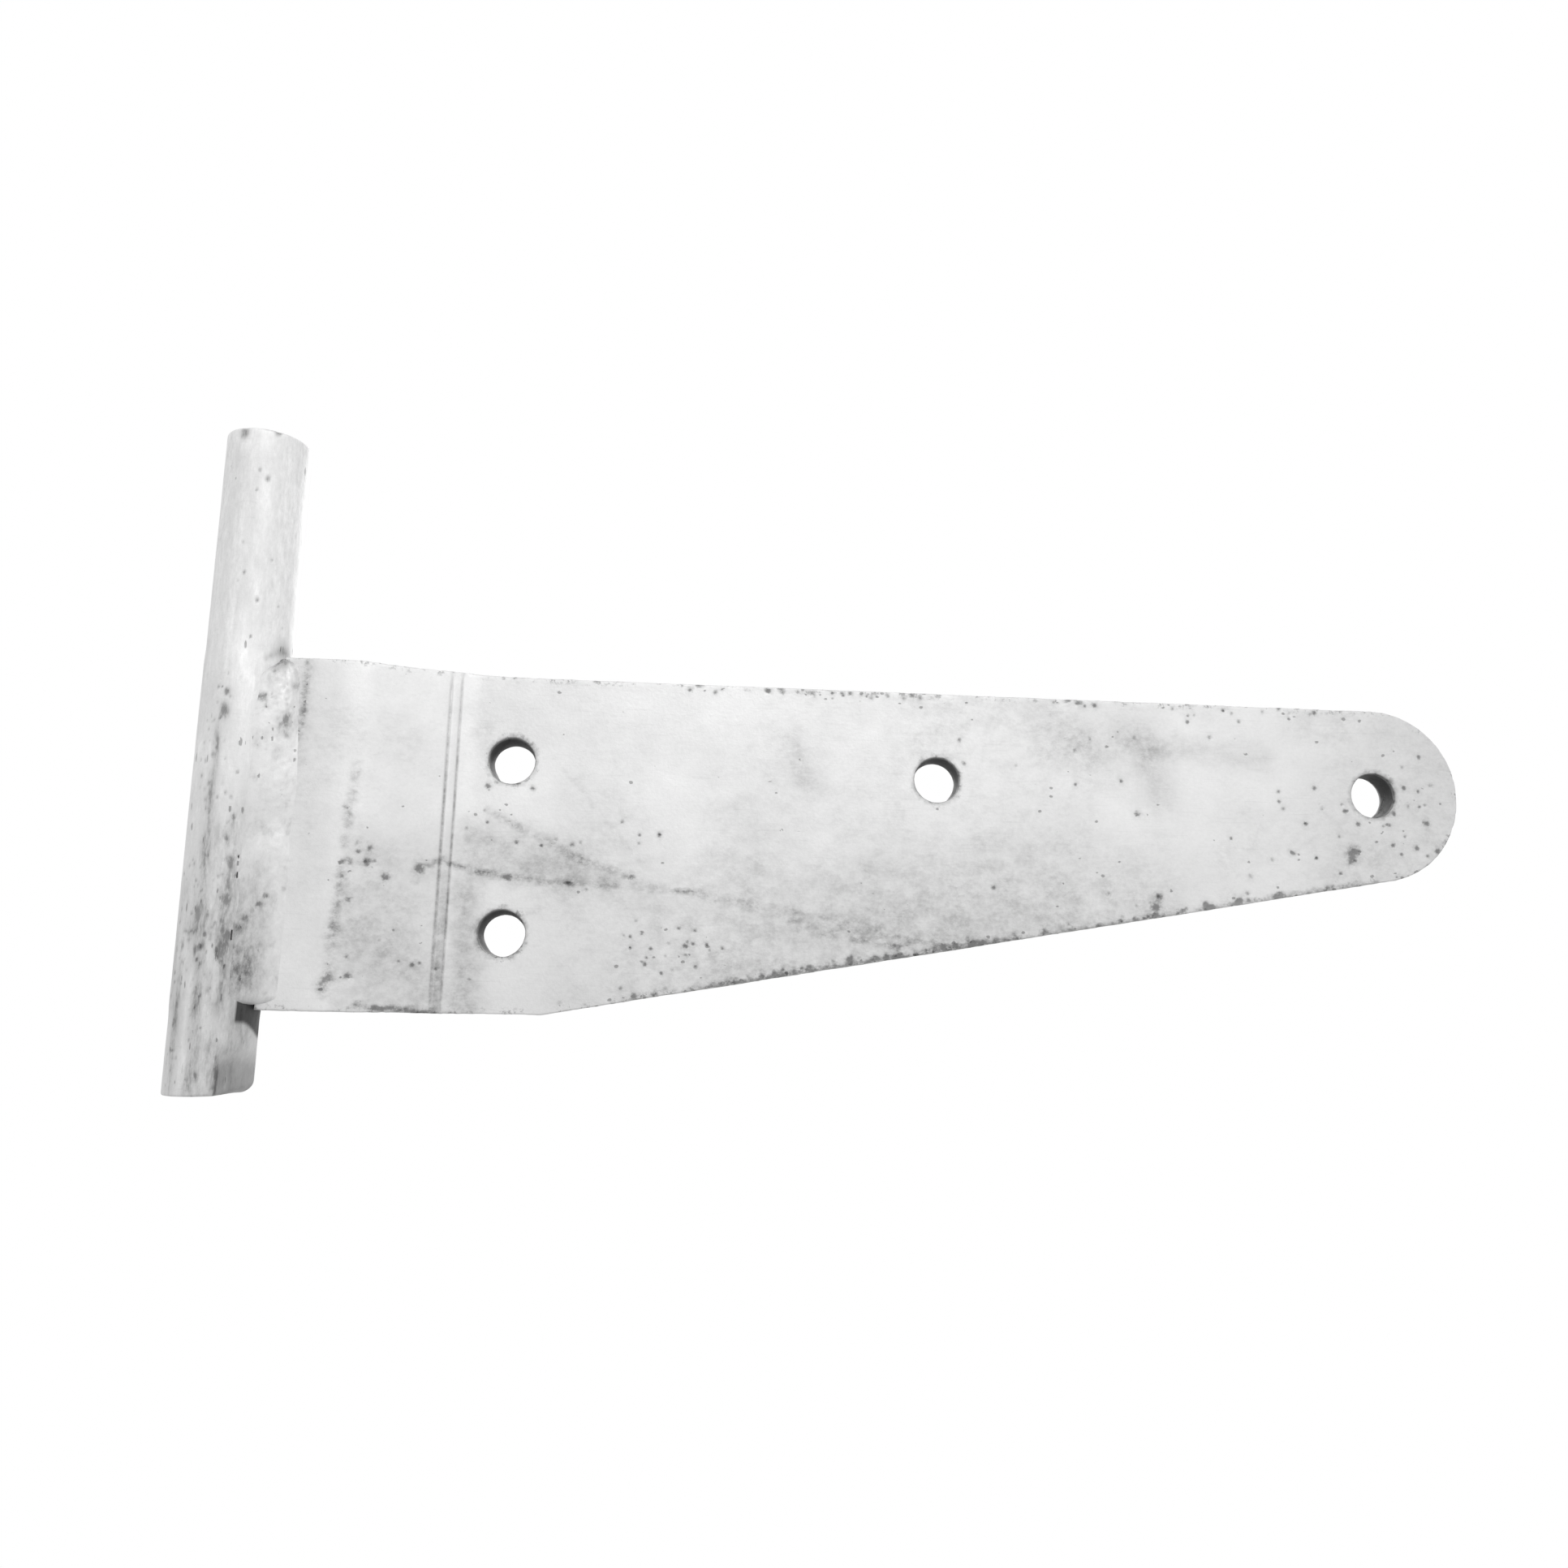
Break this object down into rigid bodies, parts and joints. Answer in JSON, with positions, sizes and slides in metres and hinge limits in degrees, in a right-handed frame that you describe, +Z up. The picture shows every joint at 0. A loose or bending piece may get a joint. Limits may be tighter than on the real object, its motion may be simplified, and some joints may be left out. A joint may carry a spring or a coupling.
{
  "type": "t hinge strap with welded pin",
  "caption": "Heavy galvanised T hinge leaf: a cranked, tapering steel strap with bolt holes and a rounded tip, welded to a round hinge pin with a long and a short journal.",
  "frame": {"origin": "on the hinge pin's axis, level with the strap's top edge, where the long upper journal begins", "axes": "+Z up along the pin towards the end of the long journal, +X along the strap from the pin to the rounded tip, +Y out of the strap's bolted face"},
  "size_m": [0.3252, 0.0262, 0.163],
  "materials": {
    "strap_zinc": "hot-dip galvanised steel, pale matt grey, clouded, with fine dark specks and scratches",
    "pin_zinc": "hot-dip galvanised round bar, with vertical runs in the zinc and dark pits",
    "weld_zinc": "galvanised weld bead, lumpy and spattered"
  },
  "bodies": {
    "root": {"strap_plate": "strap_zinc", "hinge_pin": "pin_zinc", "front_weld": "weld_zinc", "rear_weld": "weld_zinc"}
  },
  "joints": []
}
